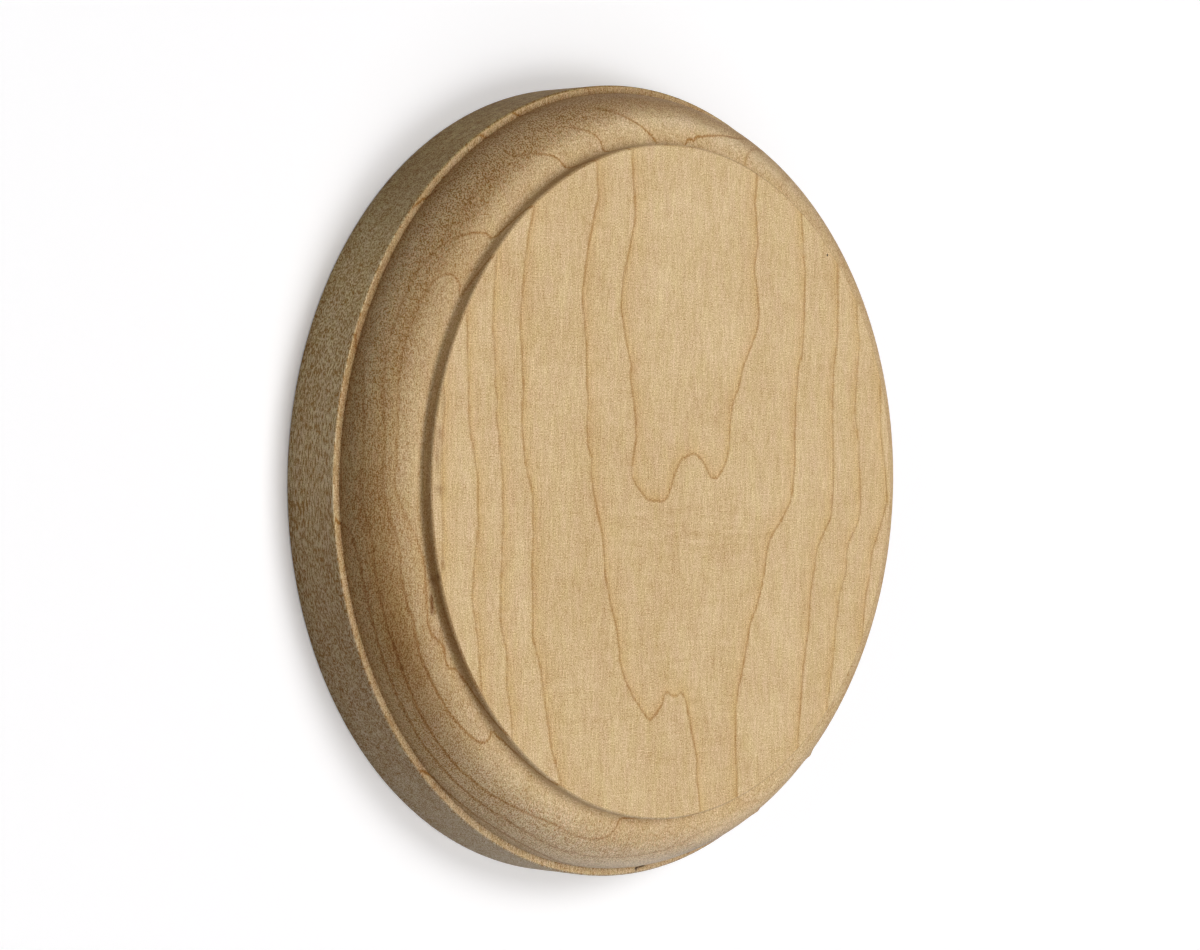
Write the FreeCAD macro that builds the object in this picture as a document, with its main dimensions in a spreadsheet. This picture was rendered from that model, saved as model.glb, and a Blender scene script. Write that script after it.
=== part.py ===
import FreeCAD, Part
import math
import os
import Sketcher

# A round handrail rosette turned from one 3/4 in maple board.
# Its back lies on z = 0 with the origin at its middle, +Z leaves the front face and the grain runs along Y.
# From the outside in, the section is a plain edge, a narrow flat ledge, a quarter-round ovolo,
# a small step and the flat face that the end of the rail seats on.

# Driving dimensions in millimetres: alias, value and what it sets.
# The three heights add up to the board's thickness, 19.05 mm.
dimensions = [
    ("outside_diameter", 114.3, "plain edge, 4 1/2 in across"),
    ("edge_height", 9.4, "plain edge, from the back to the ledge"),
    ("ledge_width", 1.15, "flat ledge outside the foot of the ovolo"),
    ("ovolo_radius", 7.75, "quarter round, as high as it is wide"),
    ("step_height", 1.9, "step from the top of the ovolo up to the face"),
    ("arris_width", 0.25, "flat that a stroke of sandpaper leaves on the outer corners"),
]

# Sketcher's own numbers for the points of a line or arc, and for the sketch's origin.
point_number = {"start": 1, "end": 2, "centre": 3}
sketch_origin = (-1, 1)

# How near two lengths count as the same, in millimetres.
same_length = 1e-6


def make_sheet(doc):
    sheet = doc.addObject("Spreadsheet::Sheet", "Dimensions")
    for row, (alias, value, meaning) in enumerate(dimensions, start=1):
        sheet.set(f"A{row}", meaning)
        sheet.set(f"B{row}", str(value))
        sheet.setAlias(f"B{row}", alias)
    doc.recompute()
    return sheet


def origin_plane(body, role):
    return next(feature for feature in body.Origin.OriginFeatures if feature.Role == role)


def section_places(sheet):
    # Radii and heights of the section's corners, measured from the middle of the back.
    outside_radius = sheet.outside_diameter / 2
    ledge_inner_radius = outside_radius - sheet.ledge_width
    face_radius = ledge_inner_radius - sheet.ovolo_radius
    ovolo_top = sheet.edge_height + sheet.ovolo_radius
    face_height = ovolo_top + sheet.step_height
    return outside_radius, ledge_inner_radius, face_radius, ovolo_top, face_height


def draw_section(body, sheet):
    # Half of the rosette's section, in the XZ plane, with its straight side on the axis.
    outside_radius, ledge_inner_radius, face_radius, ovolo_top, face_height = section_places(sheet)
    sketch = body.newObject("Sketcher::SketchObject", "Section")
    sketch.AttachmentSupport = [(origin_plane(body, "XZ_Plane"), "")]
    sketch.MapMode = "FlatFace"

    def point(radius, height):
        return FreeCAD.Vector(radius, height, 0)

    def line(first, last):
        return sketch.addGeometry(Part.LineSegment(first, last), False)

    middle_of_back = point(0, 0)
    back_corner = point(outside_radius, 0)
    edge_corner = point(outside_radius, sheet.edge_height)
    ovolo_foot = point(ledge_inner_radius, sheet.edge_height)
    step_foot = point(face_radius, ovolo_top)
    face_corner = point(face_radius, face_height)
    middle_of_face = point(0, face_height)

    back = line(middle_of_back, back_corner)
    edge = line(back_corner, edge_corner)
    ledge = line(edge_corner, ovolo_foot)
    ovolo_centre = point(face_radius, sheet.edge_height)
    ovolo_circle = Part.Circle(ovolo_centre, FreeCAD.Vector(0, 0, 1), sheet.ovolo_radius)
    ovolo = sketch.addGeometry(Part.ArcOfCircle(ovolo_circle, 0, math.pi / 2), False)
    step = line(step_foot, face_corner)
    face = line(face_corner, middle_of_face)
    axis = line(middle_of_face, middle_of_back)

    def constrain(kind, *terms):
        numbers = [point_number.get(term, term) for term in terms]
        return sketch.addConstraint(Sketcher.Constraint(kind, *numbers))

    outline = [back, edge, ledge, ovolo, step, face, axis]
    for before, after in zip(outline, outline[1:] + outline[:1]):
        constrain("Coincident", before, "end", after, "start")
    constrain("Coincident", back, "start", *sketch_origin)
    for level in (back, ledge, face):
        constrain("Horizontal", level)
    for upright in (edge, step, axis):
        constrain("Vertical", upright)
    # A quarter turn: the ovolo's centre is level with its foot and straight under its top.
    constrain("Horizontal", ovolo, "centre", ovolo, "start")
    constrain("Vertical", ovolo, "centre", ovolo, "end")

    def bind(name, expression, *terms):
        number = constrain(*terms)
        sketch.renameConstraint(number, name)
        sketch.setExpression(f"Constraints.{name}", expression)

    bind("outside_radius", "Dimensions.outside_diameter / 2",
         "DistanceX", back, "start", back, "end", outside_radius)
    bind("edge_height", "Dimensions.edge_height",
         "DistanceY", edge, "start", edge, "end", sheet.edge_height)
    bind("ledge_width", "Dimensions.ledge_width",
         "DistanceX", ledge, "end", ledge, "start", sheet.ledge_width)
    bind("ovolo_radius", "Dimensions.ovolo_radius",
         "Radius", ovolo, sheet.ovolo_radius)
    bind("step_height", "Dimensions.step_height",
         "DistanceY", step, "start", step, "end", sheet.step_height)
    return sketch


def turn_section(body, sketch):
    # One full turn of the section about the rosette's axis.
    turned = body.newObject("PartDesign::Revolution", "TurnedForm")
    turned.Profile = sketch
    turned.ReferenceAxis = (sketch, ["V_Axis"])
    turned.Angle = 360
    sketch.Visibility = False
    return turned


def break_arrises(body, turned, sheet):
    # Takes the sharpness off the three outer corners: at the back, at the ledge and round the face.
    outside_radius, _, face_radius, _, face_height = section_places(sheet)
    corners = [(outside_radius, 0), (outside_radius, sheet.edge_height), (face_radius, face_height)]

    def is_corner(edge):
        if not isinstance(edge.Curve, Part.Circle):
            return False
        radius, height = edge.Curve.Radius, edge.Curve.Center.z
        return any(abs(radius - r) < same_length and abs(height - z) < same_length for r, z in corners)

    names = [f"Edge{number}" for number, edge in enumerate(turned.Shape.Edges, start=1) if is_corner(edge)]
    broken = body.newObject("PartDesign::Chamfer", "BrokenArrises")
    broken.Base = (turned, names)
    broken.setExpression("Size", "Dimensions.arris_width")
    return broken


def make_rosette(doc, sheet):
    body = doc.addObject("PartDesign::Body", "Rosette")
    body.Label = "rosette"
    sketch = draw_section(body, sheet)
    doc.recompute()
    turned = turn_section(body, sketch)
    doc.recompute()
    broken = break_arrises(body, turned, sheet)
    body.Tip = broken
    doc.recompute()
    return body


def check_document(doc, pieces):
    for item in doc.Objects:
        if "Invalid" in item.State or "Error" in item.State:
            raise RuntimeError(f"{item.Label} failed: {item.State}")
    for piece in pieces:
        if piece.Shape.isNull() or not piece.Shape.isValid():
            raise RuntimeError(f"{piece.Label} has no valid shape")


def write_pieces(pieces):
    os.makedirs("parts", exist_ok=True)
    for piece in pieces:
        piece.Shape.exportStep(f"parts/{piece.Label}.step")
        box = piece.Shape.optimalBoundingBox()
        print(f"{piece.Label}: {box.XLength:.2f} x {box.YLength:.2f} x {box.ZLength:.2f} mm, "
              f"{piece.Shape.Volume / 1000:.1f} cm3, {len(piece.Shape.Solids)} solid")


doc = FreeCAD.newDocument("HandrailRosette")
sheet = make_sheet(doc)
pieces = [make_rosette(doc, sheet)]
check_document(doc, pieces)
write_pieces(pieces)
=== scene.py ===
import math
import bpy
import numpy as np
from mathutils import Matrix, Vector


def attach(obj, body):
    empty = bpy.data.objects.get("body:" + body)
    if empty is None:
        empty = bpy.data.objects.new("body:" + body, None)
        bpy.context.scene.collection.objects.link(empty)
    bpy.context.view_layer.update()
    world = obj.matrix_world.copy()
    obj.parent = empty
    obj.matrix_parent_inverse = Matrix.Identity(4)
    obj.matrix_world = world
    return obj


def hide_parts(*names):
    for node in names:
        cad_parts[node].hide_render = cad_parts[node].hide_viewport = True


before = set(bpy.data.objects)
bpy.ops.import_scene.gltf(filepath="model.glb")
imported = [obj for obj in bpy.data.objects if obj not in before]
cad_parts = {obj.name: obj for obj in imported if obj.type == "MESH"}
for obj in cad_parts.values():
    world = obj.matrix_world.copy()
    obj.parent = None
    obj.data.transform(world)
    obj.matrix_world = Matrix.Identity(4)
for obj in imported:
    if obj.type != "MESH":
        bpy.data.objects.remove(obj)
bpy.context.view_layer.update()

# A turned maple handrail rosette lying on its back on white paper.
# Sizes are in millimetres here and become metres when a mesh is made.
# The grain runs along Y, +Z leaves the face and the back lies on z = 0.
mm = 0.001


def linearColour(code):
    # sRGB hex to the linear RGBA that Blender's sockets take.
    srgb = np.array([int(code[i:i + 2], 16) for i in (1, 3, 5)]) / 255
    linear = np.where(srgb <= 0.04045, srgb / 12.92, ((srgb + 0.055) / 1.055) ** 2.4)
    return (*linear.tolist(), 1.0)


def addNode(tree, kind, settings=None, inputs=None):
    # A node with its settings; an input is a number, a colour or the socket that feeds it.
    node = tree.nodes.new(kind)
    for name, value in (settings or {}).items():
        setattr(node, name, value)
    for name, value in (inputs or {}).items():
        if isinstance(value, bpy.types.NodeSocket):
            tree.links.new(value, node.inputs[name])
        else:
            node.inputs[name].default_value = value
    return node


def newMaterial(name):
    material = bpy.data.materials.new(name)
    material.use_nodes = True
    material.node_tree.nodes.clear()
    return material, material.node_tree


def seenRays(tree):
    # 1 for rays of the camera, gloss or glass, and 0 for light on its way to other surfaces.
    rays = addNode(tree, "ShaderNodeLightPath").outputs
    seen = rays["Is Camera Ray"]
    for name in ("Is Glossy Ray", "Is Transmission Ray"):
        seen = addNode(tree, "ShaderNodeMath", {"operation": "MAXIMUM"}, {0: seen, 1: rays[name]}).outputs[0]
    return seen


# Form of the rosette: the same section as the solid, with its arrises rounded over.
rosetteForm = {
    "outsideRadius": 57.15,
    "edgeHeight": 9.4,
    "ledgeWidth": 1.15,
    "ovoloRadius": 7.75,
    "stepHeight": 1.9,
    "arris": 0.25,
    "faceArris": 0.35,
    "cove": 0.4,                 # radius that the tool left at the foot of the step
    # Spacing of the rings on each run of the section.
    "steps": {"back": 3.0, "edge": 0.7, "ledge": 0.12, "ovolo": 0.37,
              "step": 0.4, "face": 0.6, "arris": 0.12},
    "turnStep": 0.78,            # degrees
    "fineTurns": [(194.6, 202.4), (271.0, 285.0)],    # finer columns round a stain and a chip
    "fineTurnStep": 0.2,
}


def sectionRings(form):
    # The section from the middle of the back round to the middle of the face:
    # straight runs and quarter rounds, each ring with its radius, height and outward slope.
    outside, arris, faceArris = (form[name] for name in ("outsideRadius", "arris", "faceArris"))
    ovolo, cove, steps = (form[name] for name in ("ovoloRadius", "cove", "steps"))
    ledge = form["edgeHeight"]
    ovoloFoot = outside - form["ledgeWidth"]
    faceRadius = ovoloFoot - ovolo
    face = ledge + ovolo + form["stepHeight"]
    coveRise = math.sqrt(ovolo ** 2 + 2 * ovolo * cove)    # height of the cove's centre over the ledge
    meet = math.degrees(math.atan2(coveRise, cove))        # angle of the ovolo where the cove touches it

    def run(start, end, step):
        # Points from start up to, not including, end; the outward side is to the right of the run.
        start, end = np.array(start, float), np.array(end, float)
        length = np.linalg.norm(end - start)
        count = max(1, math.ceil(length / step))
        along = (end - start) / length
        points = start + np.arange(count)[:, None] / count * (end - start)
        return np.column_stack([points, np.tile([along[1], -along[0]], (count, 1))])

    def arc(centre, radius, first, last, step, outward=1):
        # Points of a circle from the angle first up to, not including, last.
        # A hollow has its outward side within.
        sweep = math.radians(last - first)
        count = max(2, math.ceil(radius * abs(sweep) / step))
        angle = math.radians(first) + np.arange(count) / count * sweep
        ray = np.column_stack([np.cos(angle), np.sin(angle)])
        return np.column_stack([np.array(centre) + radius * ray, outward * ray])

    beforeOvolo = [
        run((0, 0), (outside - arris, 0), steps["back"]),
        arc((outside - arris, arris), arris, -90, 0, steps["arris"]),
        run((outside, arris), (outside, ledge - arris), steps["edge"]),
        arc((outside - arris, ledge - arris), arris, 0, 90, steps["arris"]),
        run((outside - arris, ledge), (ovoloFoot, ledge), steps["ledge"]),
    ]
    fromOvolo = [
        arc((faceRadius, ledge), ovolo, 0, meet, steps["ovolo"]),
        arc((faceRadius + cove, ledge + coveRise), cove, meet + 180, 180, steps["arris"], -1),
        run((faceRadius, ledge + coveRise), (faceRadius, face - faceArris), steps["step"]),
        arc((faceRadius - faceArris, face - faceArris), faceArris, 0, 90, steps["arris"]),
        run((faceRadius - faceArris, face), (0, face), steps["face"]),
    ]
    corner = sum(len(part) for part in beforeOvolo)        # ring of the crisp corner at the ovolo's foot
    rings = np.vstack(beforeOvolo + fromOvolo + [[[0, face, 0, 1]]])
    return rings, corner


def rosettePoints(form):
    # Every ring carried round the axis: x = r cos turn, y = r sin turn, and z the ring's height.
    rings, corner = sectionRings(form)
    turns = np.arange(0, 360, form["turnStep"])
    for low, high in form["fineTurns"]:
        kept = turns[(turns < low) | (turns > high)]
        turns = np.sort(np.concatenate([kept, np.arange(low, high, form["fineTurnStep"])]))
    turns = np.radians(turns)
    cosine, sine = np.cos(turns), np.sin(turns)
    radius, height, outward, upward = (rings[1:-1, i][:, None] for i in range(4))
    flat = np.ones_like(cosine)
    places = np.stack([radius * cosine, radius * sine, height * flat], -1)
    normals = np.stack([outward * cosine, outward * sine, upward * flat], -1)
    count = len(turns)
    ringOf = np.repeat(np.arange(1, len(rings) - 1), count)
    points = np.vstack([[[0, 0, 0]], places.reshape(-1, 3), [[0, 0, rings[-1, 1]]]])
    normals = np.vstack([[[0, 0, -1]], normals.reshape(-1, 3), [[0, 0, 1]]])
    ringOf = np.concatenate([[0], ringOf, [len(rings) - 1]])

    # Quads between neighbouring rings, and a fan of triangles at each pole.
    ring = np.arange(len(rings) - 3)[:, None] * count + 1
    column = np.arange(count)
    after = (column + 1) % count
    quads = np.stack([ring + column, ring + after, ring + count + after, ring + count + column], -1)
    lastRing = (len(rings) - 3) * count + 1
    backFan = np.stack([np.zeros_like(column), after + 1, column + 1], -1)
    faceFan = np.stack([lastRing + column, lastRing + after, np.full_like(column, len(points) - 1)], -1)
    faces = quads.reshape(-1, 4).tolist() + backFan.tolist() + faceFan.tolist()
    return points, normals, ringOf, corner, faces


# Growth lines, drawn like a pen on the wood. Each ring has its line on the face as (x, y) in mm,
# and round the moulding as (turn, angle) in degrees: 104 is the face's rim, 90 the top of the ovolo
# and 0 its foot. Points past the rim only lead a line out of the wood, and they close its loop.
growthLines = {
    "face": [
        {"strength": 1.0, "path": [
            (-9.9, 62), (-9.9, 45.7), (-9.3, 40.3), (-9.1, 37.4), (-10.3, 32.9), (-11.3, 29.4),
            (-11.9, 24.9), (-10.9, 20), (-9.7, 16.6), (-10, 14.6), (-9.2, 12), (-8.8, 10), (-8.6, 6),
            (-9.4, 2), (-9.3, 1), (-8.8, 0), (-7.5, -1.3), (-6.3, -2.4), (-5.5, -2.7), (-4, -2.7),
            (-2.5, -2.8), (-1.8, -2), (-1, 0), (0, 2), (1, 3.5), (2, 3.4), (3, 4.1), (3.5, 4.3), (4, 4),
            (5.5, 3), (6.7, 1.2), (7.3, 0.5), (8.5, 0.3), (9.2, 1), (10.4, 2.8), (11.1, 5), (11.3, 8),
            (11.5, 10.2), (11.9, 12), (12.8, 12.8), (13.3, 14.6), (13.9, 16.6), (15.1, 18.6),
            (16.1, 20.3), (17.1, 22.6), (17.4, 24.6), (17.1, 27.1), (16.7, 29.1), (16.1, 30.9),
            (16.6, 32.9), (17.1, 34.9), (16.7, 37.4), (16.3, 40.3), (16.7, 45.1), (16.7, 62)]},
        {"strength": 1.0, "path": [
            (-17.1, 62), (-17.1, 45.1), (-16.6, 40.3), (-17.3, 37.7), (-18.7, 32.3), (-19.5, 27.7),
            (-19.6, 25.4), (-18.7, 18.6), (-18.6, 13.1), (-18.3, 10.9), (-18.5, 8), (-18.4, 5.1),
            (-17.6, 3.7), (-17.6, 0.6), (-16.4, -3.7), (-15.1, -8), (-14.7, -12.9), (-13, -18.6),
            (-12, -21.1), (-11.3, -26), (-10.6, -27.7), (-8.5, -30.5), (-5.8, -33.5), (-4.8, -34.1),
            (-4, -33), (-3, -32.2), (-2.3, -31), (-2, -29.7), (-1.2, -30.3), (0.2, -30.9), (1.2, -29.9),
            (2, -30.7), (3, -33.5), (4, -37.5), (4.8, -40), (4.8, -43), (5.6, -47.5), (7, -62),
            (13.5, -62), (13.5, -45.1), (13.2, -39.7), (13.1, -33.4), (13.7, -29.7), (14.4, -28),
            (15.6, -23.1), (16.1, -20.6), (17.3, -18.9), (19, -14.3), (19.3, -12.3), (19.7, -10),
            (20.3, -8.3), (23.3, -5.1), (24.7, -3.1), (25.3, -1.4), (25.7, 3), (25.6, 7.4), (25.9, 13.1),
            (26.1, 16), (26.9, 18.6), (27.6, 23.1), (27.5, 28.3), (27.7, 31), (27.1, 34.6), (26.7, 40),
            (26.7, 62)]},
        {"strength": 0.9, "path": [
            (-29, 62), (-29.3, 38), (-30.6, 33), (-31.3, 27.1), (-31.8, 21.4), (-31.1, 12.9),
            (-31.4, 7.4), (-30.4, 2), (-29.1, -1.9), (-28.9, -6.9), (-29.1, -10), (-28.9, -18),
            (-28.9, -21.7), (-27.3, -25.4), (-26.1, -31.7), (-25.1, -36.6), (-23, -41.7), (-18, -64),
            (25, -64), (27.1, -38), (27.6, -32.9), (28.1, -28), (29.3, -21.1), (29.6, -16.6), (30.6, -12),
            (31, -10), (33.1, -6.6), (34.1, -5.4), (34.6, -0.6), (34.2, 10), (34.3, 16), (35.3, 21.7),
            (35.1, 32.9), (35, 62)]},
        {"strength": 0.75, "path": [
            (-36, 62), (-36.4, 30.4), (-36.9, 24.9), (-37.2, 21.4), (-36.7, 19.4), (-36.4, 12.4),
            (-35.9, 11.4), (-36.3, 9.4), (-35, 1.7), (-34.7, -5.4), (-35.1, -14), (-34.9, -19.7),
            (-33.6, -24.3), (-33.9, -26.6), (-33, -31.7), (-32.7, -34.3), (-30, -64), (31, -64),
            (33.7, -33.7), (34.6, -28.3), (35.9, -19.7), (35.9, -17.7), (37.6, -14), (37.9, -9.7),
            (40.3, -6.4), (41.1, -4.6), (40.8, 0.6), (40.1, 7.4), (39.4, 10), (39.9, 17.4), (40.4, 20.3),
            (39.3, 27.7), (38, 62)]},
        {"strength": 0.85, "path": [
            (-41, 64), (-41.9, 23.1), (-41.6, 15.7), (-41.4, 9.1), (-41, 6.3), (-39.7, 1.4),
            (-39.4, -5.1), (-40.4, -14), (-40.5, -15.7), (-39.1, -22.6), (-38.7, -27.7), (-37, -66),
            (40, -66), (41.7, -22.6), (42.4, -17.4), (43.6, -12.9), (43.7, -10.9), (46.4, -5.4),
            (47.4, -2.9), (46.9, 0.9), (45.6, 7.4), (45.4, 16), (44, 64)]},
        {"strength": 0.6, "path": [
            (-47.5, 66), (-46.3, 13.5), (-45.8, 10.9), (-46.4, 6), (-46.2, 2), (-46.3, -3), (-46, -5.4),
            (-46.1, -11.1), (-46.8, -14), (-50, -66), (52, -66), (52, 66)]},
    ],
    "moulding": [
        {"strength": 0.35, "path": [
            (90.5, 41), (95, 38), (97, 30), (98, 15), (99, -4), (103, -40), (120, -112), (205, -112),
            (212, -40), (214.5, -5), (215.5, -2), (216.5, -12), (226, -70), (240, -112), (400, -112),
            (432, -20), (440, 25), (446, 38), (450.5, 41)]},
        {"strength": 0.9, "path": [
            (90.5, 118), (92.8, 118), (93.1, 104), (93.4, 89), (94, 83), (96.7, 68), (100, 51.6),
            (103.3, 39.6), (108, 25), (111.5, 12), (114, 0), (118, -30), (130, -85), (160, -105),
            (200, -105), (216, -75), (222, -30), (224.3, -5), (226, 1.5), (230, 4), (234.7, 9),
            (238.7, 12.6), (243.3, 14.7), (247.3, 15), (250.7, 13), (254, 8), (260, 5), (270, 5),
            (280, 9), (292, 8), (304, -12), (312, -50), (320, -100), (380, -105), (415, -60), (422, 0),
            (427, 30), (431.7, 52), (434, 57.6), (437.3, 63.6), (440, 69), (442, 74), (443.7, 74),
            (444, 83), (445.3, 77), (446.5, 88), (447, 104), (447.2, 118), (450.5, 118)]},
        {"strength": 0.85, "path": [
            (102.2, 118), (102.3, 104), (106.7, 89), (106.4, 78.6), (107.3, 66.6), (110, 53),
            (113.3, 42.6), (117.3, 30), (120, 12), (122, -4), (125, -25), (140, -70), (165, -70),
            (180, -30), (185.8, -4), (186, 6), (187, 13), (190, 19), (193.3, 20), (201.3, 20),
            (209.3, 18.6), (219.3, 18.6), (226.7, 22.5), (233.3, 28), (238.7, 33), (242.7, 34.5),
            (252, 33.6), (257.3, 36.6), (264, 42.6), (270.7, 48.6), (274.7, 53), (277.3, 59.7), (280, 63),
            (284, 62), (288, 56), (300, 38), (315, 26), (335, 22), (350, 18), (355, 0), (365, -40),
            (385, -60), (405, -30), (416, 0), (421, 25), (427, 48), (430, 65), (431, 80), (430, 90),
            (429.7, 104), (429.7, 118)]},
        {"strength": 0.85, "path": [
            (110.6, 118), (110.8, 104), (116, 89), (116.7, 72.6), (119.3, 60.6), (123, 46), (128, 28),
            (133, 12), (137, -3), (142, -14), (152, -16), (159, -8), (161.2, -3), (162, 8), (163.5, 15),
            (166.7, 19), (172, 26), (176, 27.6), (180.7, 25), (184, 29), (188.7, 36), (193.3, 34),
            (200, 34.5), (206.7, 35), (216, 33.3), (224, 35), (230.7, 41), (237.3, 50), (245.3, 58.5),
            (247.3, 59), (251.3, 56), (254.7, 58.5), (257.3, 64), (258.7, 75.6), (259, 89), (266, 95),
            (276.7, 104), (276.8, 118), (286.4, 118), (286.4, 104), (288, 92), (290, 75), (296, 58),
            (306, 50), (320, 40), (340, 36), (350, 38), (358, 28), (372, 22), (385, 0), (400, -12),
            (412, 10), (417, 40), (420, 62), (421, 78), (418, 90), (416.3, 104), (416, 118)]},
        {"strength": 0.8, "path": [
            (127.6, 118), (127.7, 104), (137, 89), (137, 78.6), (138.7, 66.6), (140.7, 56), (143.3, 45.6),
            (148, 37), (153.3, 34.8), (161.3, 35), (166.7, 39.6), (170.7, 45.6), (175.3, 48.6),
            (180.7, 47.7), (184, 53), (188, 60), (190, 61.5), (193.3, 58.5), (201.3, 60), (206.7, 56.7),
            (210.7, 57.6), (217.3, 60), (222.7, 66), (225, 72.6), (225, 83), (223.8, 89), (241.3, 104),
            (241.4, 118), (305.5, 118), (305.5, 104), (318, 89), (316, 76), (320, 62), (332, 57),
            (346, 59), (352, 52), (360, 46), (372, 36), (384, 38), (394, 50), (400, 66), (401, 80),
            (399, 89), (403.2, 104), (403.2, 118)]},
        {"strength": 0.8, "path": [
            (140, 118), (140, 104), (149.3, 89), (147.3, 83), (146.4, 74), (147, 63.6), (148.7, 56),
            (153.3, 51), (161.3, 50), (165.3, 53), (170.7, 59), (174.7, 60.6), (180.7, 60.6), (184.7, 69),
            (188, 79), (191.3, 84.6), (194, 85), (197.3, 81), (201.3, 76), (203.3, 73.8), (205.3, 78.6),
            (206.7, 84), (208.7, 80), (210.7, 79), (211, 89), (226.4, 104), (226.4, 118), (315, 118),
            (315, 104), (330, 90), (329, 80), (334, 75), (345, 80), (352, 72), (360, 62), (372, 53),
            (384, 52), (391, 62), (393, 76), (391, 89), (394.5, 104), (394.5, 118)]},
        {"strength": 0.4, "path": [
            (151.2, 118), (151.2, 104), (165, 99), (180, 97), (200, 99), (215.6, 104), (215.6, 118),
            (333, 118), (333, 104), (345, 99), (360, 97), (372, 100), (379, 104), (379, 118)]},
    ],
    "faceStrength": 0.60,        # share of a line's strength on the sanded face and the back
    "rightStrength": 0.28,       # and on the right of the moulding
    "rightFrom": (0.0, 0.27),    # cosine of the turn from which that is so, at the bottom and at the top
    "rightBlend": 0.2,           # cosine over which it comes in
    "edgeStrength": 0.30,        # and on the plain edge
    "ledgeStrength": 1.3,        # and on the ledge
    "softness": 0.35,            # mm that a drawn corner is rounded by
    "penStep": 0.5,              # mm between the points of a line
    "reach": 4.0,                # mm, as far as distance is told apart
    "lateWidth": 1.3,            # mm of darker wood before a line, on its ridge side
    "unrollRadius": 53.0,        # mm, mean radius by which a turn of the moulding becomes a length
    "faceClosing": 80,           # mm, the far levels at which loops are closed
    "mouldingClosing": 30,
    # The back shows the same rings cut deeper in the board: the face's lines, narrowed and moved.
    "backScale": (-0.9, 0.8),
    "backMove": (4.0, 15.0),
}


def penPath(corners, stepLength, softness):
    # Evenly spaced points along the drawn corners, averaged along the path by a bell of the given width.
    # A point of the plane is one complex number here.
    corners = np.array([complex(x, y) for x, y in corners])
    along = np.concatenate([[0], np.cumsum(np.abs(np.diff(corners)))])
    path = np.interp(np.arange(0, along[-1], stepLength), along, corners)
    side = 8                                               # points that the bell takes in to each side
    bell = np.exp(-(np.arange(-side, side + 1) * stepLength / (2 * softness)) ** 2)
    return np.convolve(np.pad(path, side, mode="edge"), bell / bell.sum(), mode="valid")


def distanceToLines(point, drawn, pen, closeAt):
    # Shortest distance to the segments of each path. Its sign changes at every line that is crossed,
    # so it runs smoothly through zero at a line and nowhere else. Also the nearest line's strength,
    # and whether the point is within that line's loop, which is closed far off at the level closeAt.
    reach = pen["reach"]
    bunch = 24                                             # segments that are taken at a time
    nearest = np.full(len(point), reach)
    strength = np.zeros(len(point))
    within = np.zeros(len(point), bool)
    sign = np.ones(len(point))
    for line in drawn:
        path = penPath(line["path"], pen["penStep"], pen["softness"])
        closing = [complex(path[-1].real, closeAt), complex(path[0].real, closeAt), path[0]]
        loop = np.concatenate([path, closing])
        distance = np.full(len(point), reach)
        inside = np.zeros(len(point), bool)
        for first in range(0, len(loop) - 1, bunch):
            corner = loop[first:first + bunch + 1]
            start, span = corner[:-1], np.diff(corner) + 1e-9j     # no segment is quite level
            if first < len(path) - 1:
                inked = slice(0, len(path) - 1 - first)
                middle = corner[:len(start[inked])].mean()
                near = np.flatnonzero(np.abs(point - middle) < np.abs(corner - middle).max() + reach)
                offset = point[near, None] - start[inked]
                share = np.clip((offset * span[inked].conj()).real / np.abs(span[inked]) ** 2, 0, 1)
                distance[near] = np.minimum(distance[near], np.abs(offset - share * span[inked]).min(1))
            level = np.flatnonzero((point.imag >= corner.imag.min()) & (point.imag <= corner.imag.max()))
            height = point.imag[level, None]
            passed = (corner[:-1].imag > height) != (corner[1:].imag > height)
            side = start.real + (height - start.imag) * span.real / span.imag
            inside[level] ^= (passed & (point.real[level, None] < side)).sum(1) % 2 == 1
        closer = distance < nearest
        nearest = np.where(closer, distance, nearest)
        strength = np.where(closer, line["strength"], strength)
        within = np.where(closer, inside, within)
        sign = np.where(inside, -sign, sign)
    return nearest * sign, strength, within


def surfacePlaces(points, form):
    # Where each point lies: on which form, at what turn and at what angle of the moulding.
    # The angle runs on past the ovolo with the same millimetres to a degree:
    # up the step, and out over the ledge and down the plain edge.
    ovolo = form["ovoloRadius"]
    ovoloFoot = form["outsideRadius"] - form["ledgeWidth"]
    faceRadius = ovoloFoot - ovolo
    ledge = form["edgeHeight"]
    ovoloTop = ledge + ovolo
    radius, height = np.hypot(points[:, 0], points[:, 1]), points[:, 2]
    near = 1e-6
    place = {
        "face": height > ovoloTop + form["stepHeight"] - near,
        "back": height < near,
        "edge": (height >= near) & (height < ledge - near),
        "ledge": (np.abs(height - ledge) <= near) & (radius > ovoloFoot + near),
        "step": (height > ovoloTop + near) & (height <= ovoloTop + form["stepHeight"] - near),
    }
    downEdge = height - ledge - form["ledgeWidth"]
    acrossLedge = ovoloFoot - radius
    upStep = height - ovoloTop + ovolo * math.pi / 2
    roundOvolo = ovolo * np.arctan2(height - ledge, np.maximum(radius - faceRadius, near))
    forms = [place["edge"], place["ledge"], place["step"]]
    run = np.select(forms, [downEdge, acrossLedge, upStep], roundOvolo)
    place["angle"] = np.degrees(run / ovolo)
    seam = 90.5                                            # degrees at which the moulding is unrolled
    place["turn"] = (np.degrees(np.arctan2(points[:, 1], points[:, 0])) - seam) % 360 + seam
    place["flat"] = place["face"] | place["back"]
    return place


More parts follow.
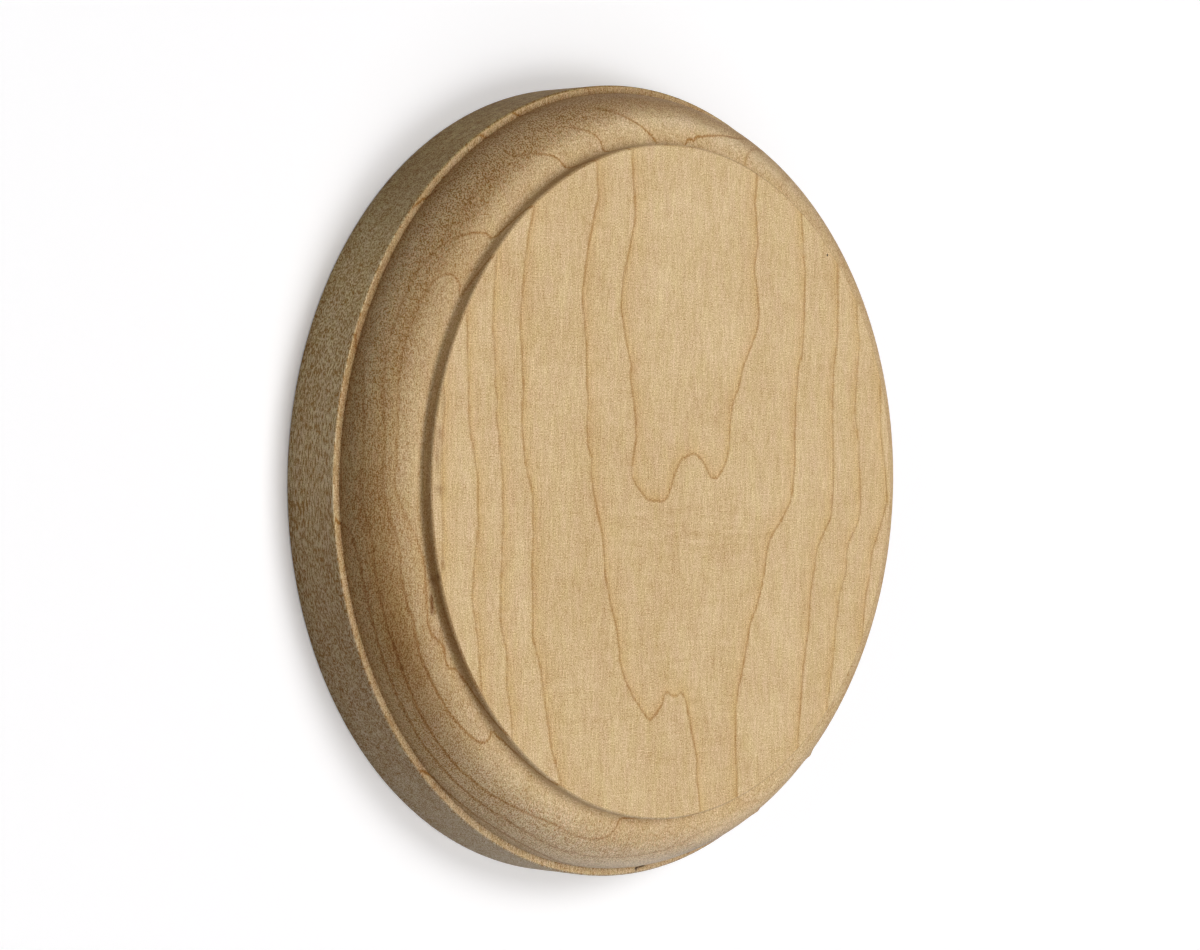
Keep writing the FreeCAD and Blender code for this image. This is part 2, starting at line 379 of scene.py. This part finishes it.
def growthFields(points, place, form, lines):
    # The face and the back are read from above; the moulding and the edge are unrolled, turn by section.
    signed, strength, late = (np.zeros(len(points)) for _ in range(3))

    def settle(chosen, across, along, drawn, closeAt, ridgeWithin):
        point = (across + 1j * along)[chosen]
        distance, power, within = distanceToLines(point, drawn, lines, closeAt)
        signed[chosen], strength[chosen] = distance, power
        late[chosen] = np.exp(-np.abs(distance) / lines["lateWidth"]) * (within == ridgeWithin)

    settle(place["face"], points[:, 0], points[:, 1], lines["face"], lines["faceClosing"], True)
    deeper = points[:, :2] * lines["backScale"] + lines["backMove"]
    settle(place["back"], deeper[:, 0], deeper[:, 1], lines["face"], lines["faceClosing"], True)
    perTurn, perAngle = math.radians(lines["unrollRadius"]), math.radians(form["ovoloRadius"])
    unrolled = []
    for line in lines["moulding"]:
        path = [(turn * perTurn, angle * perAngle) for turn, angle in line["path"]]
        unrolled.append({"strength": line["strength"], "path": path})
    across, along = place["turn"] * perTurn, place["angle"] * perAngle
    settle(~place["flat"], across, along, unrolled, lines["mouldingClosing"], False)
    rightFrom = np.where(points[:, 1] < 0, *lines["rightFrom"])
    right = (np.cos(np.radians(place["turn"])) - rightFrom) / lines["rightBlend"]
    right = np.clip(right, 0, 1) * ~place["flat"]
    strength *= 1 - (1 - lines["rightStrength"]) * right
    strength[place["flat"]] *= lines["faceStrength"]
    strength[place["ledge"]] *= lines["ledgeStrength"]
    strength[place["edge"]] *= lines["edgeStrength"]
    return signed, strength, late


def softBell(value, middle, half, power=2):
    # 1 in the middle, falling away to both sides. A turn goes round, and is met the short way.
    away = (value - middle + 180) % 360 - 180
    return np.exp(-np.abs(away / half) ** power)


def softSpots(first, second, spots):
    # Sum of bells in two directions, each with its own place, half widths and strength.
    total = np.zeros(len(first))
    for a, b, wide, high, strength in spots:
        total += strength * softBell(first, a, wide) * softBell(second, b, high)
    return np.minimum(total, 1)


# Tone of the turned surfaces against the sanded face, 1 for the same: darker where the ovolo turns down
# and round the plain edge, partly the wood's own tone and partly painted shade, with painted light and
# painted highlights in places, and greyer to the south, where that is a painted cool reflection.
turnedTone = {
    "angles": (-8.5, -1, 0, 8, 20, 35, 45, 55, 65, 80, 90, 104),
    "tones": (0.80, 0.78, 0.70, 0.77, 0.815, 0.735, 0.715, 0.76, 0.87, 0.92, 0.94, 0.82),
    "darkest": 0.5,
    # Lighter and darker places of the moulding: turn, angle, half widths of both in degrees, lift.
    # They are partly the wood's own tone and partly painted light and shade; the lifts high on the ovolo
    # at turns 88 and 290 are painted highlights.
    "places": [
        (88, 65, 24, 13, 0.19), (290, 62, 14, 14, 0.14), (92, 24, 20, 18, -0.17), (125, 10, 50, 16, -0.20),
        (152, 20, 12, 20, 0.12), (180, 28, 12, 16, -0.08), (205, 38, 20, 34, -0.24), (240, 25, 10, 25, -0.06),
        (132, 50, 14, 10, -0.10), (150, 68, 14, 14, -0.08), (170, 80, 20, 10, -0.06), (286, 28, 9, 12, -0.42),
        (270, 40, 34, 32, 0.25), (150, 98, 26, 8, 0.04), (203, 98, 26, 8, -0.32), (115, 98, 12, 8, -0.30),
        (120, -5, 20, 5, 0.20), (195, -5, 8, 5, 0.10), (255, -5, 22, 5, 0.14), (156, -5, 14, 5, -0.12)],
    # The plain edge, and where it is lighter or darker: turn, half width and lift.
    # The lighter places at turns 165 and 376 are painted light from the left, repeated on the hidden side.
    "edge": 0.63,
    "edgePlaces": [(165, 22, 0.58), (376, 22, 0.50), (255, 30, 0.05), (106, 9, -0.20), (132, 8, -0.06)],
    # Greyness of the edge in the same way: its own grey and, to the south, a painted cool reflection;
    # and a place of the moulding that stays browner.
    "cool": 0.14,
    "coolPlaces": [(152, 16, 0.30), (270, 50, 1.0)],
    "browner": (288, 12, 0.5),
    # Fuzz of fibres that looks pale at a slant: turn, angle, half widths and weight.
    "sheen": [(264, 40, 21, 36, 0.58), (285, 57, 12, 11, 0.24), (80, 63, 22, 12, 0.33)],
    # Where the fibre ends stand up: turn and its half width, angle and its half width, amount.
    "fuzz": [(122, 24, 32, 28, 1.0), (258, 24, 45, 30, 0.5)],
    "fuzzHides": 0.75,                # share of a growth line that is lost in the fuzz
    "plain": (172, 26, 0.5),          # where lines are fainter: turn, half width and share lost
    "late": 0.5,                      # strength of the late wood on turned surfaces
    # Play of the grain and of fibre ends by the angle of the moulding, and on the edge: east and west,
    # and what is added towards the ends of the grain.
    "grainAngles": (-9, 0, 20, 45, 70, 90, 104),
    "grain": (1.0, 1.9, 1.9, 1.65, 1.2, 1.1, 1.0),
    "edgeGrain": (1.5, -0.3),
    "endsAngles": (-9, 0, 20, 45, 60, 75, 104),
    "ends": (0.0, 0.75, 0.75, 0.6, 0.35, 0.2, 0.2),
    "edgeEnds": (0.4, 0.6),
    "fuzzEnds": 1.5,
    "southSlant": 0.35,               # coarse mottle of the edge to the south, against 1 to the north
    "moreSlant": (214, 18, 0.35),     # turn, half width and amount
}


def toneFields(place, tone):
    turn, angle = place["turn"], place["angle"]
    edge, flat = place["edge"], place["flat"]
    north = np.maximum(np.sin(np.radians(turn)), 0)
    south = np.maximum(-np.sin(np.radians(turn)), 0)

    def aroundEdge(spots):
        return sum(amount * softBell(turn, middle, half) for middle, half, amount in spots)

    def flatTopped(middle, half, amount):
        return amount * softBell(turn, middle, half, 4)

    # The share is the turned tone: partly the wood's own, partly painted shade and light.
    share = np.interp(angle, tone["angles"], tone["tones"]) + softSpots(turn, angle, tone["places"])
    share = np.where(edge, tone["edge"] + aroundEdge(tone["edgePlaces"]), share)
    share = np.where(flat, 1, share)
    # Painted cool reflection: the moulding turns greyer and bluer towards the south.
    cool = south ** 3 * (1 - aroundEdge([tone["browner"]]))
    cool = np.where(edge, tone["cool"] + aroundEdge(tone["coolPlaces"]), cool) * ~flat
    fuzz = np.zeros(len(turn))
    for middle, half, height, reach, amount in tone["fuzz"]:
        fuzz = np.maximum(fuzz, flatTopped(middle, half, amount) * softBell(angle, height, reach, 4))
    fuzz = fuzz * ~flat
    play = np.interp(angle, tone["grainAngles"], tone["grain"])
    play = np.where(edge, tone["edgeGrain"][0] + tone["edgeGrain"][1] * (north + south) ** 4, play)
    ends = np.interp(angle, tone["endsAngles"], tone["ends"]) + tone["fuzzEnds"] * fuzz
    ends = np.where(edge, tone["edgeEnds"][0] + tone["edgeEnds"][1] * north ** 4, ends)
    plain = flatTopped(*tone["plain"]) * ~(flat | place["ledge"])
    slant = north ** 2 + tone["southSlant"] * south ** 2 + flatTopped(*tone["moreSlant"])
    fields = {
        "shade": np.clip((1 - share) / (1 - tone["darkest"]), 0, 1),
        "cool": np.clip(cool, 0, 1),
        "fibreEnds": np.where(flat, 0, ends),
        "contrast": np.where(flat, 1, play),
        "sheen": softSpots(turn, angle, tone["sheen"]) * ~(flat | edge),
        "ledge": place["ledge"].astype(float),
        "edge": edge.astype(float),
        "endGrain": edge * north ** 2,
        "slantCut": edge * slant,
    }
    lineShare = (1 - tone["fuzzHides"] * fuzz) * (1 - plain)
    lateShare = np.where(flat, 1, tone["late"] * (1 - fuzz))
    return fields, lineShare, lateShare


# Marks on this one. On the face: x, y, half widths across and along the grain in mm, strength.
# On the moulding: turn, angle, half widths of both in degrees, strength.
rosetteMarks = {
    "face": [(-46.8, 6.7, 0.7, 1.0, 0.4), (-47.2, 3.6, 0.6, 2.4, 0.32), (-46.8, -1.0, 0.8, 0.5, 0.5),
             (-46.2, 10.8, 0.4, 2.2, 0.25), (-46.1, -11.2, 0.35, 0.9, 0.5), (18.0, 0.0, 0.6, 2.2, 0.08)],
    "moulding": [(198.4, 86.8, 0.6, 2.2, 0.9), (199.2, 85.4, 0.6, 2.2, 1.0), (200.0, 84.0, 0.6, 2.2, 1.0),
                 (200.8, 82.6, 0.6, 2.2, 0.8), (195.2, 102, 0.6, 2.5, 0.7), (195.6, 93.7, 0.7, 3.0, 0.6),
                 (204.5, 81, 1.0, 4.0, 0.2), (283.9, -4.9, 0.3, 1.2, 0.8), (281.6, -7.7, 0.3, 1.0, 0.7)],
    "curl": [(6, -7, 14, 4.0, 0.8), (-5, -5, 8, 2.5, 0.6), (0, -32, 24, 10, 0.4), (0, 0, 90, 90, 0.3)],
    # Clouds: pale and dark drifts of the face's own tone, in one field with the moulding's painted
    # highlights.
    "cloudsAndGlints": [(3, 28, 13, 18, 0.05), (-14, -10, 14, 24, -0.04), (-24, 30, 8, 12, -0.03),
               (32, -4, 14, 40, 0.03)],
    # Glints: painted highlights, paler spots on the moulding.
    "glints": [(80, 65, 20, 10, 0.14), (287, 57, 10, 9, 0.10)],     # paler, on the moulding
    "pins": [(32.7, 33.9, 0.20)],               # x, y and radius of a pin's dot on the face
    "chipDepth": 0.25,                          # mm, at the foot of the ovolo
    "chipDark": 1.7,                            # how far the dark fills the chip
    "chip": [(274.0, -2.2, 0.35, 0.9, 1.0), (273.3, -2.5, 0.35, 0.7, 0.8), (272.65, -3.0, 0.3, 0.9, 1.0),
             (272.5, -5.0, 0.2, 2.0, 0.5)],
    "burrHeight": 0.25,                         # mm, torn fibres that stand on the ovolo
    "burrs": [(310.3, 39, 0.6, 4, 1.0), (295.3, 39, 0.6, 4, 1.0)],
}


def buildRosette(form, lines, tone, marks):
    points, normals, ringOf, corner, faces = rosettePoints(form)
    place = surfacePlaces(points, form)
    x, y = points[:, 0], points[:, 1]

    def onFace(name):
        return softSpots(x, y, marks[name]) * place["face"]

    def onMoulding(name):
        return softSpots(place["turn"], place["angle"], marks[name]) * ~place["flat"]

    distance, strength, late = growthFields(points, place, form, lines)
    fields, lineShare, lateShare = toneFields(place, tone)
    chip, burrs = onMoulding("chip"), onMoulding("burrs")
    fields.update({
        "lineDistance": distance,
        "lineStrength": strength * lineShare,
        "lateWood": late * lateShare,
        "smudge": np.maximum(onFace("face"), onMoulding("moulding")),
        "hole": np.minimum(marks["chipDark"] * chip, 1),
        "curl": onFace("curl"),
        # Clouds of the face's own tone, and painted highlights on the moulding.
        "cloudsAndGlints": onFace("cloudsAndGlints") + onMoulding("glints"),
    })
    points = points + normals * (marks["burrHeight"] * burrs)[:, None]
    points[:, 2] -= marks["chipDepth"] * chip

    mesh = bpy.data.meshes.new("rosetteMaple")
    mesh.from_pydata((points * mm).tolist(), [], faces)
    mesh.polygons.foreach_set("use_smooth", np.ones(len(mesh.polygons), bool))
    # The inside corner stays crisp: its ring of edges is sharp.
    ends = np.empty(len(mesh.edges) * 2, np.int32)
    mesh.edges.foreach_get("vertices", ends)
    crisp = (ringOf[ends.reshape(-1, 2)] == corner).all(1)
    mesh.attributes.new("sharp_edge", "BOOLEAN", "EDGE").data.foreach_set("value", crisp)
    for name, values in fields.items():
        mesh.attributes.new(name, "FLOAT", "POINT").data.foreach_set("value", values.astype(np.float32))
    mesh.update()
    piece = bpy.data.objects.new("rosetteMaple", mesh)
    bpy.context.scene.collection.objects.link(piece)
    print("rosette:", len(points), "points,", sum(len(face) - 2 for face in faces), "triangles")
    return piece


# Hard maple, turned and sanded, with no finish: pale straw ground, thin brown growth lines,
# short fine pores along the grain, darker, thirstier end grain, and next to no gloss.
# On the turned surfaces the colour also carries painted shade, painted light and a painted cool reflection.
mapleLook = {
    "dark": "#ab8345",           # the two ends between which the grain plays
    "light": "#f7e6be",
    # Layers of grain: size across and along the grain in mm, how much it plays, and where.
    # Real pores are 0.05 mm wide, too fine to show here, so they are drawn about three times as coarse.
    "grain": {
        "pores": {"size": (0.13, 1.4), "gain": 0.44, "detail": 0.0},
        "specks": {"size": (0.14, 0.2), "gain": 1.25, "detail": 0.0},
        "fibres": {"size": (0.26, 4.0), "gain": 0.21, "detail": 1.0},
        "bands": {"size": (1.6, 8.0), "gain": 0.22, "detail": 2.0},
        "patches": {"size": (7.0, 9.0), "gain": 0.25, "detail": 2.0},
        "cutEnds": {"size": (0.20, 0.5), "gain": 0.75, "detail": 0.0, "mask": "fibreEnds"},
        "edgeFibres": {"size": (0.30, 1.6), "gain": 0.60, "detail": 1.0, "mask": "edge"},
        "edgeStrokes": {"size": (0.17, 1.0), "gain": 1.90, "detail": 0.0, "mask": "edge"},
        "edgeMottle": {"size": (1.0, 1.0), "gain": 2.2, "detail": 2.0, "mask": "slantCut"},
        "curls": {"size": (7.0, 0.9), "gain": 0.46, "detail": 2.0, "mask": "curl"},
        "toolMarks": {"size": (0.35, 0.35), "gain": 0.45, "detail": 1.0, "mask": "ledge", "spokes": True},
    },
    "wander": {"size": (5.0, 4.0), "detail": 3.0},    # of the growth lines
    "hue": {"size": (1.5, 4.5), "detail": 4.0},
    "noiseRoughness": 0.6,
    "spokeRadius": 57.0,         # mm, where a pattern of spokes has its written size
    "pinkTint": "#fff2fb",
    "strawTint": "#fffeea",
    "lineTint": "#c8a66c",
    "lineWobble": 0.5,           # mm, times noise around its middle
    "lineFeather": 0.6,          # mm, times the noise of the fibres: where it crosses them the line is ragged
    "lineWidth": 0.36,           # mm to each side where it fades out
    "lateTint": "#faf2e2",
    # The brown tint also gives the painted shade of the turned surfaces; the cool tint is the edge's own grey
    # and, to the south, a painted cool reflection.
    "brownTint": "#bca98a",      # turned surfaces at their darkest
    "coolTint": "#b5c2e4",
    "endTint": "#f7fcdc",        # end grain of the edge
    "strokeTints": ("#ffedea", "#e6f4f8"),     # dark strokes of the edge lean to red, pale ones to grey
    "stainTint": "#8f6222",
    "holeTint": "#4a3826",
    "pinCore": 0.7,              # share of a pin's radius that is fully dark
    "bumpStrength": 0.25,
    "bumpHeight": 0.04,          # mm
    "roughness": 0.6,
    "ior": 1.45,
    "specular": 0.2,             # bare wood has next to no gloss, also at a slant
}


def mapleMaterial(look, pins):
    material, tree = newMaterial("hardMapleTurnedSanded")
    coords = addNode(tree, "ShaderNodeTexCoord").outputs["Object"]
    names = ("lineDistance", "lineStrength", "lateWood", "shade", "cool", "fibreEnds", "contrast", "sheen",
             "ledge", "edge", "endGrain", "slantCut", "smudge", "hole", "curl", "cloudsAndGlints")
    fields = {}
    for name in names:
        fields[name] = addNode(tree, "ShaderNodeAttribute", {"attribute_name": name}).outputs["Fac"]
    # Spokes: the direction from the axis alone, as a point on the rim, so that a pattern runs outwards.
    flat = addNode(tree, "ShaderNodeVectorMath", {"operation": "MULTIPLY"},
                   {0: coords, 1: (1, 1, 0)}).outputs[0]
    unit = addNode(tree, "ShaderNodeVectorMath", {"operation": "NORMALIZE"}, {0: flat}).outputs[0]
    spokes = addNode(tree, "ShaderNodeVectorMath", {"operation": "SCALE"},
                     {0: unit, "Scale": look["spokeRadius"] * mm}).outputs[0]

    # Noise stretched along the grain for each layer, the growth lines' wander and the drift of hue.
    noises = {}
    for name, layer in {**look["grain"], "wander": look["wander"], "hue": look["hue"]}.items():
        across, along = layer["size"]
        scaled = addNode(tree, "ShaderNodeMapping", None, {
            "Vector": spokes if layer.get("spokes") else coords,
            "Scale": (1 / (across * mm), 1 / (along * mm), 1 / (across * mm))})
        noises[name] = addNode(tree, "ShaderNodeTexNoise", None, {
            "Vector": scaled.outputs[0], "Scale": 1.0, "Detail": layer["detail"],
            "Roughness": look["noiseRoughness"]}).outputs["Fac"]

    # The layers are added up around zero, each within its mask.
    grain = None
    for name, layer in look["grain"].items():
        play = addNode(tree, "ShaderNodeMath", {"operation": "MULTIPLY_ADD"},
                       {0: noises[name], 1: layer["gain"], 2: -layer["gain"] / 2}).outputs[0]
        if "mask" in layer:
            play = addNode(tree, "ShaderNodeMath", {"operation": "MULTIPLY"},
                           {0: play, 1: fields[layer["mask"]]}).outputs[0]
        if grain is not None:
            play = addNode(tree, "ShaderNodeMath", {"operation": "ADD"}, {0: grain, 1: play}).outputs[0]
        grain = play
    # The contrast of each place scales the play, and 0.5 is the middle between dark and light.
    grain = addNode(tree, "ShaderNodeMath", {"operation": "MULTIPLY_ADD"},
                    {0: grain, 1: fields["contrast"], 2: 0.5}).outputs[0]
    # Adds the face's clouds and the moulding's painted highlights.
    grain = addNode(tree, "ShaderNodeMath", {"operation": "ADD"}, {0: grain, 1: fields["cloudsAndGlints"]}).outputs[0]

    # A growth line is thin and brown, dark in its middle; it wanders a little.
    offLine = fields["lineDistance"]
    for name, amount in (("wander", look["lineWobble"]), ("fibres", look["lineFeather"])):
        shift = addNode(tree, "ShaderNodeMath", {"operation": "MULTIPLY_ADD"},
                        {0: noises[name], 1: amount, 2: -amount / 2}).outputs[0]
        offLine = addNode(tree, "ShaderNodeMath", {"operation": "ADD"}, {0: offLine, 1: shift}).outputs[0]
    offLine = addNode(tree, "ShaderNodeMath", {"operation": "ABSOLUTE"}, {0: offLine}).outputs[0]
    line = addNode(tree, "ShaderNodeMapRange", {"interpolation_type": "SMOOTHSTEP"}, {
        "Value": offLine, "From Min": 0.0, "From Max": look["lineWidth"],
        "To Min": 1.0, "To Max": 0.0}).outputs[0]
    line = addNode(tree, "ShaderNodeMath", {"operation": "MULTIPLY"},
                   {0: line, 1: fields["lineStrength"]}).outputs[0]

    # The ground plays between dark and light, and three tints between two colours each.
    pairs = {
        "ground": (grain, look["dark"], look["light"]),
        "hue": (noises["hue"], look["pinkTint"], look["strawTint"]),
        "turned": (fields["cool"], look["brownTint"], look["coolTint"]),
        "strokes": (noises["edgeStrokes"], *look["strokeTints"]),
    }
    mixed = {}
    for name, (share, low, high) in pairs.items():
        mixed[name] = addNode(tree, "ShaderNodeMix", {"data_type": "RGBA"}, {
            0: share, 6: linearColour(low), 7: linearColour(high)}).outputs[2]
    # Each tint then multiplies the ground by its own share.
    tints = [(1.0, mixed["hue"]), (fields["fibreEnds"], mixed["strokes"]),
             (fields["lateWood"], linearColour(look["lateTint"])), (line, linearColour(look["lineTint"])),
             # Turned tint: partly own tone, partly painted shade, and to the south a painted cool reflection.
             (fields["shade"], mixed["turned"]), (fields["endGrain"], linearColour(look["endTint"])),
             (fields["smudge"], linearColour(look["stainTint"])),
             (fields["hole"], linearColour(look["holeTint"]))]
    for x, y, radius in pins:
        away = addNode(tree, "ShaderNodeVectorMath", {"operation": "DISTANCE"},
                       {0: flat, 1: (x * mm, y * mm, 0)}).outputs["Value"]
        dot = addNode(tree, "ShaderNodeMapRange", None, {
            "Value": away, "From Min": radius * look["pinCore"] * mm, "From Max": radius * mm,
            "To Min": 1.0, "To Max": 0.0}).outputs[0]
        tints.append((dot, linearColour(look["holeTint"])))
    colour = mixed["ground"]
    for share, tint in tints:
        colour = addNode(tree, "ShaderNodeMix", {"data_type": "RGBA", "blend_type": "MULTIPLY"}, {
            0: share, 6: colour, 7: tint}).outputs[2]
    bump = addNode(tree, "ShaderNodeBump", None, {
        "Strength": look["bumpStrength"], "Distance": look["bumpHeight"] * mm, "Height": grain})
    shader = addNode(tree, "ShaderNodeBsdfPrincipled", None, {
        "Base Color": colour, "Roughness": look["roughness"], "IOR": look["ior"],
        "Specular IOR Level": look["specular"], "Sheen Weight": fields["sheen"], "Normal": bump.outputs[0]})
    addNode(tree, "ShaderNodeOutputMaterial", None, {"Surface": shader.outputs[0]})
    return material


# White paper: matt, lifted a little to white for the eye and for reflections, and greyer in the light
# that it throws back on the wood.
paperLook = {"seen": "#fffeff", "bounced": "#b8b8b8", "lift": 0.11, "size": 3000.0}


def layPaper(look):
    half = look["size"] / 2 * mm
    corner = np.array([(-half, -half, 0), (half, -half, 0), (half, half, 0), (-half, half, 0)])
    mesh = bpy.data.meshes.new("paperFloor")
    mesh.from_pydata(corner.tolist(), [], [(0, 1, 2, 3)])
    material, tree = newMaterial("mattWhitePaper")
    seen = seenRays(tree)
    colour = addNode(tree, "ShaderNodeMix", {"data_type": "RGBA"}, {
        0: seen, 6: linearColour(look["bounced"]), 7: linearColour(look["seen"])}).outputs[2]
    matt = addNode(tree, "ShaderNodeBsdfDiffuse", None, {"Color": colour})
    lift = addNode(tree, "ShaderNodeMath", {"operation": "MULTIPLY"}, {0: seen, 1: look["lift"]})
    glow = addNode(tree, "ShaderNodeEmission", None, {"Strength": lift.outputs[0]})
    shader = addNode(tree, "ShaderNodeAddShader", None, {0: matt.outputs[0], 1: glow.outputs[0]})
    addNode(tree, "ShaderNodeOutputMaterial", None, {"Surface": shader.outputs[0]})
    mesh.materials.append(material)
    floor = bpy.data.objects.new("paperFloor", mesh)
    bpy.context.scene.collection.objects.link(floor)
    return floor


# Soft studio light: round softboxes high on three sides, most of it from the right, and a faint even
# surround. A lamp stands where its turn and height say, in degrees; its level is the brightness that
# it alone would give white paper facing it.
studioLight = {
    "lamps": [
        {"name": "rightBackSoftbox", "turn": 60.0, "height": 68.0, "level": 0.43},
        {"name": "rightFrontSoftbox", "turn": 300.0, "height": 68.0, "level": 0.34},
        {"name": "leftFrontSoftbox", "turn": 240.0, "height": 68.0, "level": 0.06},
        {"name": "leftSoftbox", "turn": 165.0, "height": 25.0, "level": 0.05},
        {"name": "frontSoftbox", "turn": 270.0, "height": 45.0, "level": 0.12},
    ],
    "colour": "#ffffff",
    "distance": 3000.0,
    "size": 1600.0,
    "surround": 0.10,
}


def lightScene(light):
    for lamp in light["lamps"]:
        data = bpy.data.lights.new(lamp["name"], "AREA")
        data.shape = "DISK"
        data.size = light["size"] * mm
        data.energy = lamp["level"] * math.pi ** 2 * (light["distance"] * mm) ** 2
        data.color = linearColour(light["colour"])[:3]
        item = bpy.data.objects.new(lamp["name"], data)
        turn, height = math.radians(lamp["turn"]), math.radians(lamp["height"])
        level = math.cos(height)
        direction = Vector((level * math.cos(turn), level * math.sin(turn), math.sin(height)))
        item.location = direction * light["distance"] * mm
        item.rotation_euler = direction.to_track_quat("Z", "Y").to_euler()
        bpy.context.scene.collection.objects.link(item)
    world = bpy.data.worlds.new("whiteSurround")
    bpy.context.scene.world = world
    world.use_nodes = True
    tree = world.node_tree
    tree.nodes.clear()
    strength = addNode(tree, "ShaderNodeMapRange", None, {
        "Value": seenRays(tree), "To Min": light["surround"], "To Max": 1.0})
    back = addNode(tree, "ShaderNodeBackground", None, {"Strength": strength.outputs[0]})
    addNode(tree, "ShaderNodeOutputWorld", None, {"Surface": back.outputs[0]})


# The photograph's view: from the left and above, the grain upright in the frame.
cameraSetup = {
    "place": (-378.05, 5.32, 368.64),
    "target": (-5.925, 0.877, 9.476),
    "upright": (0.0, 1.0, -0.01236),
    "lens": 107.92,
    "sensor": 36.0,
    "nearest": 10.0,
}


def placeCamera(setup):
    data = bpy.data.cameras.new("photoCamera")
    data.lens = setup["lens"]
    data.sensor_width = setup["sensor"]
    data.clip_start = setup["nearest"] * mm
    place = Vector(setup["place"]) * mm
    forward = (Vector(setup["target"]) * mm - place).normalized()
    right = forward.cross(Vector(setup["upright"])).normalized()
    up = right.cross(forward)
    camera = bpy.data.objects.new("photoCamera", data)
    camera.matrix_world = Matrix.Translation(place) @ Matrix((right, up, -forward)).transposed().to_4x4()
    bpy.context.scene.collection.objects.link(camera)
    bpy.context.scene.camera = camera


bpy.context.scene.view_settings.view_transform = "Standard"
rosette = buildRosette(rosetteForm, growthLines, turnedTone, rosetteMarks)
rosette.data.materials.append(mapleMaterial(mapleLook, rosetteMarks["pins"]))
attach(rosette, "root")
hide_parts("rosette")
print("maple: material made")
layPaper(paperLook)
lightScene(studioLight)
placeCamera(cameraSetup)
print("paper, light and camera set")
